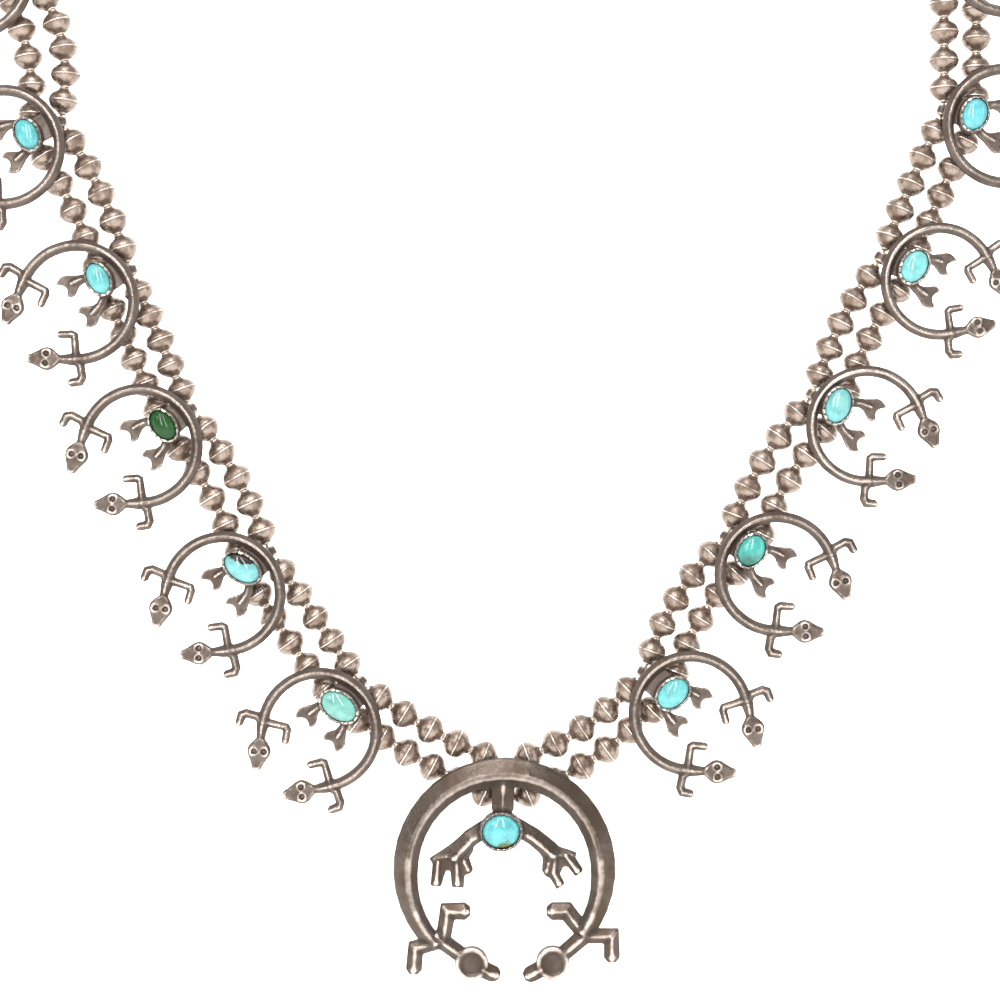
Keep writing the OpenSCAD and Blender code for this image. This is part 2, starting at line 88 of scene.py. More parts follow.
# %% Build the pale floor and backdrop
FLOOR_Z = -372 * MM
BACKDROP_Y = 1.2
SWEEP_R = 0.35
SWEEP_STEPS = 12
STAGE_HALF = 3.6
FLOOR_GLOW = 0.55
BACKDROP_GLOW = 1.5


def shader_of(material):
    return next(n for n in material.node_tree.nodes if n.type == "BSDF_PRINCIPLED")


def new_material(name):
    material = bpy.data.materials.new(name)
    material.use_nodes = True
    return material


def sheet_profile():
    """Points of the ground from the front of the floor to the top of the backdrop."""
    points = [(-STAGE_HALF, FLOOR_Z)]
    for step in range(SWEEP_STEPS + 1):
        angle = math.radians(90 * step / SWEEP_STEPS)
        points.append((BACKDROP_Y - SWEEP_R + SWEEP_R * math.sin(angle),
                       FLOOR_Z + SWEEP_R - SWEEP_R * math.cos(angle)))
    points.append((BACKDROP_Y, STAGE_HALF))
    return points


profile = sheet_profile()
corners = [(x, y, z) for y, z in profile for x in (-STAGE_HALF, STAGE_HALF)]
faces = [(2 * i, 2 * i + 1, 2 * i + 3, 2 * i + 2) for i in range(len(profile) - 1)]
ground_mesh = bpy.data.meshes.new("Ground")
ground_mesh.from_pydata(corners, [], faces)
ground_mesh.shade_smooth()
ground = shown("Ground", ground_mesh)
for name, glow in (("Pale floor", FLOOR_GLOW), ("Lit backdrop", BACKDROP_GLOW)):
    paper = new_material(name)
    sockets = shader_of(paper).inputs
    sockets["Base Color"].default_value = (0.93, 0.93, 0.925, 1)
    sockets["Roughness"].default_value = 0.9
    sockets["Emission Color"].default_value = (1, 1, 1, 1)
    sockets["Emission Strength"].default_value = glow
    ground_mesh.materials.append(paper)
for face in ground_mesh.polygons:
    face.material_index = min(1, face.index)
print("ground points:", len(corners))

# %% [markdown]
# Silver shows what stands around it. A window of two tall narrow panes in front leaves the two
# bars of light that the stones show. A light over the camera's left shoulder gives a soft shine,
# a strip on each side draws a bright line on every rounded edge, and the world is darker towards
# the camera, so that the flats keep the grey of old silver.

# %% Set the lights
def area_light(name, place, width, height, watts, tint):
    """A rectangle of light that points at the middle of the photograph."""
    data = bpy.data.lights.new(name, "AREA")
    data.shape = "RECTANGLE"
    data.size = width
    data.size_y = height
    data.energy = watts
    data.color = tint
    lamp = shown(name, data)
    lamp.location = place
    beam = Vector((0, 0, PHOTO_CENTRE_Z)) - Vector(place)
    lamp.rotation_euler = beam.to_track_quat("-Z", "Y").to_euler()


# name, place in metres, width, height, watts and tint
LIGHTS = [
    ("Window left pane", (-0.145, -0.50, 0.12), 0.05, 0.70, 1.9, (1, 0.97, 0.94)),
    ("Window right pane", (0.065, -0.50, 0.12), 0.05, 0.70, 1.9, (1, 0.97, 0.94)),
    ("Key", (-0.45, -0.70, 0.25), 0.30, 0.30, 1.2, (1, 0.97, 0.93)),
    ("Left strip", (-0.75, -0.35, -0.15), 0.10, 0.9, 1.2, (1, 0.98, 0.96)),
    ("Right strip", (0.75, -0.40, -0.10), 0.10, 0.9, 1.3, (0.98, 0.98, 1)),
    ("Top", (0.05, -0.25, 0.65), 0.8, 0.35, 1.2, (1, 1, 1)),
]
# axis of the direction: how the strength fades, from where to where, and its two values
WORLD_TONES = {"Z": ("LINEAR", -0.9, 0.9, 0.16, 0.9), "Y": ("SMOOTHSTEP", -1.0, -0.35, 0.66, 1.0)}
RANGE_LABELS = ("From Min", "From Max", "To Min", "To Max")

for row in LIGHTS:
    area_light(*row)

world = bpy.data.worlds.new("Studio")
world.use_nodes = True
bpy.context.scene.world = world
sky = world.node_tree
background = sky.nodes["Background"]
direction = sky.nodes.new("ShaderNodeTexCoord")
split = sky.nodes.new("ShaderNodeSeparateXYZ")
product = sky.nodes.new("ShaderNodeMath")
product.operation = "MULTIPLY"
sky.links.new(direction.outputs["Generated"], split.inputs[0])
for socket, (axis, (fade, *numbers)) in zip(product.inputs, WORLD_TONES.items()):
    tone = sky.nodes.new("ShaderNodeMapRange")
    tone.interpolation_type = fade
    for label, number in zip(RANGE_LABELS, numbers):
        tone.inputs[label].default_value = number
    sky.links.new(split.outputs[axis], tone.inputs["Value"])
    sky.links.new(tone.outputs[0], socket)
sky.links.new(product.outputs[0], background.inputs["Strength"])
background.inputs["Color"].default_value = (1, 0.985, 0.96, 1)
bpy.context.scene.view_settings.view_transform = "Standard"

# %% [markdown]
# Old silver has three marks that every piece here shares: tarnish in patches, a fine grain left
# by the sand or the hammer, and bright edges where hands and cloth have polished it. The patches
# and the grain are node groups, built once. The edges come from an attribute called relief,
# which is measured on each mesh further down: 0 in a hollow, 0.5 on a flat, 1 on an edge.
# Through relief the colour also carries painted light: a painted highlight on the edges and
# painted shade in the hollows.

# %% Build the shared effects
TARNISH_SPAN = (0.42, 0.64)
FINE_GRAIN_SHARE = 0.35
SCUFF_SPAN = (0.4, 0.7)


def group_tree(name, inputs, outputs):
    """A shader node group with named sockets; returns the tree, its input and output nodes."""
    tree = bpy.data.node_groups.new(name, "ShaderNodeTree")
    for label, value in inputs:
        socket = tree.interface.new_socket(label, in_out="INPUT", socket_type="NodeSocketFloat")
        socket.default_value = value
    for label in outputs:
        tree.interface.new_socket(label, in_out="OUTPUT", socket_type="NodeSocketFloat")
    return tree, tree.nodes.new("NodeGroupInput"), tree.nodes.new("NodeGroupOutput")


def object_noise(tree, scale, detail, rough=0.55):
    """A noise texture on Object coordinates in millimetres, with its scale linked or given."""
    place = tree.nodes.new("ShaderNodeTexCoord")
    in_mm = tree.nodes.new("ShaderNodeVectorMath")
    in_mm.operation = "SCALE"
    in_mm.inputs["Scale"].default_value = 1 / MM
    texture = tree.nodes.new("ShaderNodeTexNoise")
    texture.inputs["Detail"].default_value = detail
    texture.inputs["Roughness"].default_value = rough
    tree.links.new(place.outputs["Object"], in_mm.inputs[0])
    tree.links.new(in_mm.outputs[0], texture.inputs["Vector"])
    if isinstance(scale, (int, float)):
        texture.inputs["Scale"].default_value = scale
    else:
        tree.links.new(scale, texture.inputs["Scale"])
    return texture.outputs["Fac"]


def math_node(tree, operation, *values):
    """The result of a sum on numbers and sockets."""
    node = tree.nodes.new("ShaderNodeMath")
    node.operation = operation
    for socket, value in zip(node.inputs, values):
        if isinstance(value, (int, float)):
            socket.default_value = value
        else:
            tree.links.new(value, socket)
    return node.outputs[0]


def ranged(tree, value, low, high, to_low=0.0, to_high=1.0):
    """The value eased from the span low to high into the span to_low to to_high."""
    node = tree.nodes.new("ShaderNodeMapRange")
    node.interpolation_type = "SMOOTHSTEP"
    for label, number in zip(RANGE_LABELS, (low, high, to_low, to_high)):
        node.inputs[label].default_value = number
    tree.links.new(value, node.inputs["Value"])
    return node.outputs[0]


tarnish_tree, tarnish_in, tarnish_out = group_tree(
    "Tarnish patches", [("Patches per mm", 0.3)], ["Mask"])
blotches = object_noise(tarnish_tree, tarnish_in.outputs["Patches per mm"], 4)
tarnish_tree.links.new(ranged(tarnish_tree, blotches, *TARNISH_SPAN), tarnish_out.inputs["Mask"])

grain_tree, grain_in, grain_out = group_tree(
    "Hand-worked grain", [("Grains per mm", 4.0), ("Dents per mm", 0.6)], ["Height", "Scuffs"])
fine = object_noise(grain_tree, grain_in.outputs["Grains per mm"], 3, 0.7)
dents = object_noise(grain_tree, grain_in.outputs["Dents per mm"], 2)
grain_height = math_node(grain_tree, "ADD", math_node(grain_tree, "MULTIPLY", fine, FINE_GRAIN_SHARE), dents)
grain_tree.links.new(grain_height, grain_out.inputs["Height"])
grain_tree.links.new(ranged(grain_tree, fine, *SCUFF_SPAN), grain_out.inputs["Scuffs"])
print("groups:", [g.name for g in bpy.data.node_groups])

# %% [markdown]
# Each silver is a mixture of three colours: the brown-black of a hollow, which is oxide and
# painted shade, the warm grey of the body, and the pinkish bright metal of an edge, which is
# polish and a painted highlight. The relief attribute picks between them and the tarnish patches
# pull the body towards brown. Roughness follows the same masks.

# %% Mix the silvers
HOLLOW_BELOW = 0.18
FLAT_TONE = 0.5
EDGE_SPAN = 0.22
METAL_IN_HOLLOW = 0.3
METAL_GAIN = 0.62
ROUGH_TARNISH = 0.14
ROUGH_SCUFFS = 0.12
ROUGH_HOLLOW = 0.3
EDGE_POLISH = 0.1


def group_node(tree, name, **values):
    node = tree.nodes.new("ShaderNodeGroup")
    node.node_tree = bpy.data.node_groups[name]
    for label, value in values.items():
        node.inputs[label.replace("_", " ")].default_value = value
    return node


def mixed(tree, share, first, second):
    """The mixture of two colours or colour sockets."""
    node = tree.nodes.new("ShaderNodeMix")
    node.data_type = "RGBA"
    tree.links.new(share, node.inputs["Factor"])
    for socket, value in ((node.inputs["A"], first), (node.inputs["B"], second)):
        if isinstance(value, tuple):
            socket.default_value = (*value, 1)
        else:
            tree.links.new(value, socket)
    return node.outputs["Result"]


def silver(name, hollow_oxide_and_shade, body, brown, polish_and_highlight, patches, grain, bump_mm, rough_base, polish_and_highlight_from):
    material = new_material(name)
    tree = material.node_tree
    shader = shader_of(material)
    relief = tree.nodes.new("ShaderNodeAttribute")
    relief.attribute_name = "relief"
    tarnish = group_node(tree, "Tarnish patches", Patches_per_mm=patches)
    worked = group_node(tree, "Hand-worked grain", Grains_per_mm=grain)
    metal = mixed(tree, tarnish.outputs["Mask"], body, brown)
    # depth picks the hollow colour: oxide and painted shade in the hollows
    depth = ranged(tree, relief.outputs["Fac"], HOLLOW_BELOW, FLAT_TONE)
    metal = mixed(tree, depth, hollow_oxide_and_shade, metal)
    # edge picks the edge colour: polish and a painted highlight on the ridges
    edge = ranged(tree, relief.outputs["Fac"], polish_and_highlight_from, polish_and_highlight_from + EDGE_SPAN)
    metal = mixed(tree, edge, metal, polish_and_highlight)
    tree.links.new(metal, shader.inputs["Base Color"])
    # tarnish is a dull crust: where it is thick the metal hardly shines
    metallic = math_node(tree, "MULTIPLY_ADD", depth, METAL_GAIN, METAL_IN_HOLLOW)
    tree.links.new(metallic, shader.inputs["Metallic"])
    crust = math_node(tree, "MULTIPLY", tarnish.outputs["Mask"], ROUGH_TARNISH)
    scuffs = math_node(tree, "MULTIPLY", worked.outputs["Scuffs"], ROUGH_SCUFFS)
    shade = math_node(tree, "MULTIPLY_ADD", depth, -ROUGH_HOLLOW, ROUGH_HOLLOW)
    dull = math_node(tree, "ADD", math_node(tree, "ADD", crust, scuffs), shade)
    rough = math_node(tree, "SUBTRACT", math_node(tree, "ADD", dull, rough_base),
                      math_node(tree, "MULTIPLY", edge, EDGE_POLISH))
    tree.links.new(rough, shader.inputs["Roughness"])
    bump = tree.nodes.new("ShaderNodeBump")
    bump.inputs["Strength"].default_value = 1
    bump.inputs["Distance"].default_value = bump_mm * MM
    tree.links.new(worked.outputs["Height"], bump.inputs["Height"])
    tree.links.new(bump.outputs["Normal"], shader.inputs["Normal"])
    return material


# name: its colours in a hollow (oxide and painted shade), on the body, under tarnish and on an
# edge (polish and a painted highlight); tarnish patches and grains per mm, depth of the grain in
# mm, roughness, and the relief at which the edge starts
SILVERS = {
    "Cast silver": ((0.052, 0.038, 0.031), (0.150, 0.122, 0.104), (0.098, 0.073, 0.060),
                    (0.60, 0.52, 0.465), 0.20, 4.0, 0.09, 0.25, 0.56),
    "Pendant silver": ((0.034, 0.025, 0.020), (0.098, 0.078, 0.066), (0.074, 0.052, 0.038),
                       (0.74, 0.64, 0.575), 0.12, 3.5, 0.07, 0.23, 0.53),
    "Bead silver": ((0.105, 0.070, 0.050), (0.31, 0.25, 0.212), (0.175, 0.127, 0.098),
                    (0.88, 0.79, 0.71), 0.30, 3.0, 0.10, 0.19, 0.62),
    "Bezel silver": ((0.040, 0.030, 0.026), (0.22, 0.185, 0.162), (0.15, 0.12, 0.105),
                     (0.72, 0.64, 0.58), 0.5, 5.0, 0.04, 0.26, 0.6),
    "Clasp silver": ((0.07, 0.055, 0.046), (0.24, 0.205, 0.18), (0.16, 0.13, 0.108),
                     (0.85, 0.76, 0.69), 0.2, 3.0, 0.06, 0.28, 0.56),
}
cast_silver, naja_silver, bead_silver, bezel_silver, clasp_silver = (
    silver(name, *row) for name, row in SILVERS.items())
print("silvers:", [m.name for m in bpy.data.materials if "silver" in m.name])

# %% [markdown]
# A casting poured in sand has no sharp edge: its limbs melt into each other. The CAD solid is
# made of faceted limbs, so a copy of it is skinned again with a voxel remesh and relaxed a
# little. Then it is filled back out by a share of what that took away, and its outline is spread
# by a hair, because the photograph's limbs are a little wider than the solid's. What more
# relaxing would take away, compared along the normal, tells edges from hollows, and that becomes
# the relief attribute. Cloth never reaches the side walls, so they keep their tarnish, and their
# darker tone also paints the shade that falls on them.

# %% Skin the castings
MERGE_DISTANCE = 0.002 * MM
RELAX_SHARE = 0.5
SKIN_ROUNDS = 3
FILL_BACK = 0.8
SPREAD = 0.1 * MM
# size and height in mm of the waves that a sand mould leaves
SAND_WAVES = [(3.0, 0.05), (0.9, 0.025)]

# relief is what FINE_ROUNDS of relaxing would take away, NEAR_SHARE times, and BROAD_ROUNDS once
FINE_ROUNDS = 4
BROAD_ROUNDS = 16
NEAR_SHARE = 2.0
LIFT_PERCENTS = (2, 45, 99.2)
# tone of the side walls: tarnish and painted shade
WALL_TARNISH_AND_SHADE_TONE = 0.3
PLATE_TONE = 0.42
PLATE_REACH = 0.8
CASTING_BACK_Y = -4.1 * MM
BACK_SLACK = 0.2 * MM
# where cloth starts to reach and over what span it reaches fully: the height above the back as
# a share of the straight edge's height, the tilt of a slope, and the tilt of a flat plate
REACH_HEIGHT = (0.8, 0.45)
REACH_SLOPE = (0.45, 0.4)
REACH_PLATE = (0.93, 0.05)


def merged(mesh):
    """The mesh in its editing form, with the corners of its loose triangles merged."""
    work = bmesh.new()
    work.from_mesh(mesh)
    bmesh.ops.remove_doubles(work, verts=work.verts, dist=MERGE_DISTANCE)
    return work


def clean_copy(node, name):
    """A copy of a CAD node in one skin, without its material."""
    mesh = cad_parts[node].data.copy()
    mesh.materials.clear()
    work = merged(mesh)
    work.to_mesh(mesh)
    work.free()
    return shown(name, mesh)


def settled(piece):
    """Turns an object's evaluated shape into its own plain mesh and drops its modifiers."""
    graph = bpy.context.evaluated_depsgraph_get()
    graph.update()
    mesh = bpy.data.meshes.new_from_object(piece.evaluated_get(graph))
    piece.modifiers.clear()
    old = piece.data
    piece.data = mesh
    if isinstance(old, bpy.types.Mesh):
        bpy.data.meshes.remove(old)
    return piece


def points_of(mesh):
    points = np.empty(len(mesh.vertices) * 3)
    mesh.vertices.foreach_get("co", points)
    return points.reshape(-1, 3)


def normals_of(mesh):
    normals = np.empty(len(mesh.vertices) * 3)
    mesh.vertex_normals.foreach_get("vector", normals)
    return normals.reshape(-1, 3)


def move_points(mesh, points):
    mesh.vertices.foreach_set("co", points.ravel())
    mesh.update()


def write_relief(mesh, values):
    layer = mesh.attributes.new("relief", "FLOAT", "POINT")
    layer.data.foreach_set("value", values.astype(np.float32))


def relaxed(points, edges, rounds):
    """Points drawn towards the mean of their neighbours, some rounds over."""
    count = len(points)
    degree = np.maximum(np.bincount(edges.ravel(), minlength=count), 1)[:, None]
    first, second = edges[:, 0], edges[:, 1]
    for _ in range(rounds):
        total = np.stack([
            np.bincount(first, points[second, axis], count)
            + np.bincount(second, points[first, axis], count)
            for axis in range(3)
        ], axis=1)
        points = points + RELAX_SHARE * (total / degree - points)
    return points


def edges_of(mesh):
    edges = np.empty(len(mesh.edges) * 2, dtype=np.int64)
    mesh.edges.foreach_get("vertices", edges)
    return edges.reshape(-1, 2)


def eased(values, start, span):
    return np.clip((values - start) / span, 0, 1)


def store_relief(mesh, edge_height, blur_rounds):
    """Writes relief: how far each point stands out of the surface around it, near and far.

    The walls below the casting's straight edge take a darker tone instead: tarnish and painted shade.
    """
    points, edges, normals = points_of(mesh), edges_of(mesh), normals_of(mesh)
    near = ((points - relaxed(points, edges, FINE_ROUNDS)) * normals).sum(1) * NEAR_SHARE
    far = ((points - relaxed(points, edges, BROAD_ROUNDS)) * normals).sum(1)
    lift = near + far
    values = np.interp(lift, np.percentile(lift, LIFT_PERCENTS), (0, 0.5, 1))
    height = CASTING_BACK_Y - points[:, 1]
    tilt = normals[:, 1]
    reached = eased(height, *(share * edge_height for share in REACH_HEIGHT))
    reached *= eased(np.abs(tilt), *REACH_SLOPE)
    plate = eased(-tilt, *REACH_PLATE)
    reached = np.maximum(reached, PLATE_REACH * plate)
    values = np.maximum(values, PLATE_TONE * plate)
    # the back and the eyes on it are rubbed by the skin
    reached[(tilt > 0.5) | (height < -BACK_SLACK)] = 1
    # the walls that cloth does not reach take tarnish and painted shade
    values = values * reached + WALL_TARNISH_AND_SHADE_TONE * (1 - reached)
    write_relief(mesh, relaxed(np.repeat(values[:, None], 3, axis=1), edges, blur_rounds)[:, 0])


def roughen(mesh, waves):
    """Moves points along their normals by noise; waves are pairs of size and height in mm."""
    points = points_of(mesh)
    lift = np.zeros(len(points))
    for size, height in waves:
        scaled = points / (size * MM)
        lift += np.array([noise.noise(Vector(p)) for p in scaled]) * height * MM
    move_points(mesh, points + normals_of(mesh) * lift[:, None])


def skinned_casting(node, voxel, edge_height, blur_rounds, material):
    """A casting in one soft skin; its voxel and the height of its straight edge are in mm."""
    piece = clean_copy(node, "cast_" + node)
    skin = piece.modifiers.new("Skin", "REMESH")
    skin.mode = "VOXEL"
    skin.voxel_size = voxel * MM
    settled(piece)
    mesh = piece.data
    soft = relaxed(points_of(mesh), edges_of(mesh), SKIN_ROUNDS)
    fuller = soft + FILL_BACK * (soft - relaxed(soft, edges_of(mesh), SKIN_ROUNDS))
    move_points(mesh, fuller)
    move_points(mesh, fuller + normals_of(mesh) * (SPREAD, 0, SPREAD))
    roughen(mesh, SAND_WAVES)
    store_relief(mesh, edge_height * MM, blur_rounds)
    mesh.shade_smooth()
    mesh.materials.clear()
    mesh.materials.append(material)
    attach(piece, "root")
    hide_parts(node)
    return piece


for node in sorted(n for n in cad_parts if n.startswith("blossom_")):
    piece = skinned_casting(node, 0.24, 1.0, 2, cast_silver)
print("last crescent's faces:", len(piece.data.polygons))
pendant = skinned_casting("naja", 0.30, 1.3, 5, naja_silver)
print("pendant's faces:", len(pendant.data.polygons))

# %% [markdown]
# Every turquoise is a cabochon: an oval stone with a straight girdle and a polished dome. Its
# oval is measured on the CAD stone: the middle of its box, and the long axis of its outline.
# That small frame also places the bezel round it.

# %% Measure the stones
GIRDLE_SHARE = 0.45
GIRDLE_ROWS = (0, 0.5, 0.92)
DOME_POWER = 0.9
DOME_ROWS = 12
STONE_SIDES = 56


def stone_place(node):
    """Matrix from a stone's own frame to the part's, and its length, width and height."""
    points = points_of(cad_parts[node].data)
    low, high = points.min(0), points.max(0)
    flat = points[:, [0, 2]] - ((low + high) / 2)[[0, 2]]
    values, axes = np.linalg.eigh(flat.T @ flat)
    across = axes[:, 1]
    up = np.array([-across[1], across[0]])
    length = 2 * np.abs(flat @ across).max()
    width = 2 * np.abs(flat @ up).max()
    centre = (low + high) / 2
    matrix = Matrix((
        (across[0], up[0], 0, centre[0]),
        (0, 0, -1, high[1]),
        (across[1], up[1], 0, centre[2]),
        (0, 0, 0, 1),
    ))
    return matrix, length, width, high[1] - low[1]


def tube_faces(rows, sides):
    """Faces between each ring of points and the next."""
    faces = []
    for row in range(rows - 1):
        for side in range(sides):
            a = row * sides + side
            b = row * sides + (side + 1) % sides
            faces.append((a, b, b + sides, a + sides))
    return faces


def cabochon(node):
    """An oval stone with a straight girdle and a dome, in place of the CAD stone."""
    matrix, length, width, height = stone_frames[node]
    rows = [(1.0, share * GIRDLE_SHARE) for share in GIRDLE_ROWS]
    for step in range(1, DOME_ROWS):
        angle = math.radians(90 * step / DOME_ROWS)
        rise = GIRDLE_SHARE + (1 - GIRDLE_SHARE) * math.sin(angle)
        rows.append((math.cos(angle) ** DOME_POWER, rise))
    points = []
    for share, rise in rows:
        for side in range(STONE_SIDES):
            angle = 2 * math.pi * side / STONE_SIDES
            x, y = share * length / 2 * math.cos(angle), share * width / 2 * math.sin(angle)
            points.append((x, y, rise * height))
    top = len(points)
    points.append((0, 0, height))
    bottom = len(points)
    points.append((0, 0, 0))
    faces = tube_faces(len(rows), STONE_SIDES)
    last = (len(rows) - 1) * STONE_SIDES
    for side in range(STONE_SIDES):
        after = (side + 1) % STONE_SIDES
        faces.append((last + side, last + after, top))
        faces.append((after, side, bottom))
    mesh = bpy.data.meshes.new("cabochon_" + node)
    mesh.from_pydata(points, [], faces)
    mesh.transform(matrix)
    mesh.update()
    mesh.shade_smooth()
    piece = shown("cabochon_" + node, mesh)
    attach(piece, "root")
    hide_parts(node)
    return piece


stone_frames = {n: stone_place(n) for n in sorted(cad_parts) if "stone" in n}
print("pendant's stone in mm:", [round(v / MM, 2) for v in stone_frames["naja_stone"][1:]])

# %% [markdown]
# No two turquoises match. Each stone's colour drifts between a lighter and a deeper tone, and
# some have a patch of brown or green to one side. The patch is a distance from a point, with a
# ragged edge from noise. The polish is a thin coat on the shader.

# %% Mix the turquoises
TONE_SHARES = (1.16, 0.80, 0.62)
# noises per mm, their detail and roughness, and the span of each that is used
CLOUDS, CLOUD_SPAN = (0.35, 5, 0.6), (0.36, 0.66)
FLECKS, FLECK_SPAN = (1.7, 6, 0.75), (0.56, 0.74, 0, 0.5)
TEAR = (0.7, 5, 0.65)
PATCH_DEPTH = 3 * MM
PATCH_TEAR = 2.6
PATCH_EDGE = 0.05
DARK_GREEN = 0.1
DARK_POLISH = 0.5
STONE_ROUGH = 0.4
STONE_SPECULAR = 0.15
POLISH_ROUGH = 0.03


def turquoise(name, colour, patch, centre):
    """A polished stone of one colour that drifts, with a ragged patch of another."""
    material = new_material(name)
    tree = material.node_tree
    shader = shader_of(material)
    light, deep, fleck = (tuple(share * c for c in colour) for share in TONE_SHARES)
    clouds = ranged(tree, object_noise(tree, *CLOUDS), *CLOUD_SPAN)
    tone = mixed(tree, clouds, light, deep)
    flecks = ranged(tree, object_noise(tree, *FLECKS), *FLECK_SPAN)
    tone = mixed(tree, flecks, tone, fleck)
    if patch:
        patch_colour, (across, up), patch_r, blur = patch
        place = tree.nodes.new("ShaderNodeTexCoord")
        away = tree.nodes.new("ShaderNodeVectorMath")
        away.operation = "DISTANCE"
        away.inputs[1].default_value = centre + Vector((across * MM, -PATCH_DEPTH, up * MM))
        tree.links.new(place.outputs["Object"], away.inputs[0])
        inside = math_node(tree, "MULTIPLY_ADD", away.outputs["Value"], -1 / (patch_r * MM), 1.0)
        tear = PATCH_TEAR / patch_r
        ragged = math_node(tree, "MULTIPLY_ADD", object_noise(tree, *TEAR), tear, -tear / 2)
        mask = ranged(tree, math_node(tree, "ADD", inside, ragged), PATCH_EDGE, PATCH_EDGE + blur)
        tone = mixed(tree, mask, tone, patch_colour)
    tree.links.new(tone, shader.inputs["Base Color"])
    shader.inputs["Roughness"].default_value = STONE_ROUGH
    shader.inputs["Specular IOR Level"].default_value = STONE_SPECULAR
    # on a dark stone a full coat would show the pale floor as a grey veil
    shader.inputs["Coat Weight"].default_value = 1 if colour[1] > DARK_GREEN else DARK_POLISH
    shader.inputs["Coat Roughness"].default_value = POLISH_ROUGH
    return material


# node: its colour and its patch, which is a colour, a place from the stone's centre in mm
# (across and up in the photograph), a radius in mm and the blur of its edge
STONES = {
    "naja_stone": ((0.089, 0.380, 0.405), ((0.07, 0.10, 0.03), (1.2, -4.9), 3.2, 0.25)),
    "stone_r1": ((0.100, 0.378, 0.385), None),
    "stone_r2": ((0.046, 0.305, 0.272), ((0.002, 0.105, 0.078), (-1.2, -3.4), 4.4, 0.7)),
    "stone_r3": ((0.110, 0.345, 0.350), ((0.17, 0.41, 0.38), (0.3, 0.8), 2.6, 0.6)),
    "stone_r4": ((0.127, 0.395, 0.400), None),
    "stone_r5": ((0.094, 0.375, 0.420), None),
    "stone_r6": ((0.110, 0.370, 0.390), None),
    "stone_l1": ((0.132, 0.356, 0.310), None),
    "stone_l2": ((0.138, 0.380, 0.390), ((0.010, 0.006, 0.005), (2.3, 8.8), 8.6, 0.05)),
    "stone_l3": ((0.0015, 0.048, 0.005), ((0.012, 0.058, 0.014), (1.7, -0.4), 1.8, 0.5)),
    "stone_l4": ((0.092, 0.350, 0.355), None),
    "stone_l5": ((0.068, 0.320, 0.335), None),
    "stone_l6": ((0.100, 0.350, 0.360), None),
}
for node, (colour, patch) in STONES.items():
    piece = cabochon(node)
    centre = stone_frames[node][0].translation
    piece.data.materials.append(turquoise("Turquoise " + node, colour, patch, centre))
print("stones:", len(STONES))

# %% [markdown]
# A serrated bezel holds each stone: a thin strip bent to the oval, whose upper edge is cut into
# small teeth and pressed onto the dome. A strip with evenly spaced teeth follows a rule, so
# Geometry Nodes make it: an oval curve is swept by a thin upright section, and a small tooth
# is set on each of its evenly spaced points.

# %% Build the bezel's node tree
BEZEL_INPUTS = [("Length", 10 * MM), ("Width", 8 * MM), ("Wall", 0.25 * MM), ("Foot", 1 * MM),
                ("Rim", 3.1 * MM), ("Tooth", 0.5 * MM), ("Teeth", 40)]
OVAL_STEPS = 72
TOOTH_TIP_R = 0.55 * MM
TOOTH_FOOT_R = 0.88 * MM
TOOTH_THINNED = 0.17
TOOTH_LEAN = -55


def tree_maker(tree):
    """Short hands for adding a node and joining sockets in a geometry tree."""
    def add(kind, **settings):
        node = tree.nodes.new(kind)
        for label, value in settings.items():
            setattr(node, label, value)
        return node
    return add, tree.links.new


def geometry_tree(name, inputs, with_geometry=False):
    """A geometry tree with named inputs; returns the tree, its input and output nodes."""
    tree = bpy.data.node_groups.new(name, "GeometryNodeTree")
    if with_geometry:
        tree.interface.new_socket("Geometry", in_out="INPUT", socket_type="NodeSocketGeometry")
    for label, value in inputs:
        kind = "NodeSocketInt" if isinstance(value, int) else "NodeSocketFloat"
        socket = tree.interface.new_socket(label, in_out="INPUT", socket_type=kind)
        socket.default_value = value
    tree.interface.new_socket("Geometry", in_out="OUTPUT", socket_type="NodeSocketGeometry")
    return tree, tree.nodes.new("NodeGroupInput"), tree.nodes.new("NodeGroupOutput")


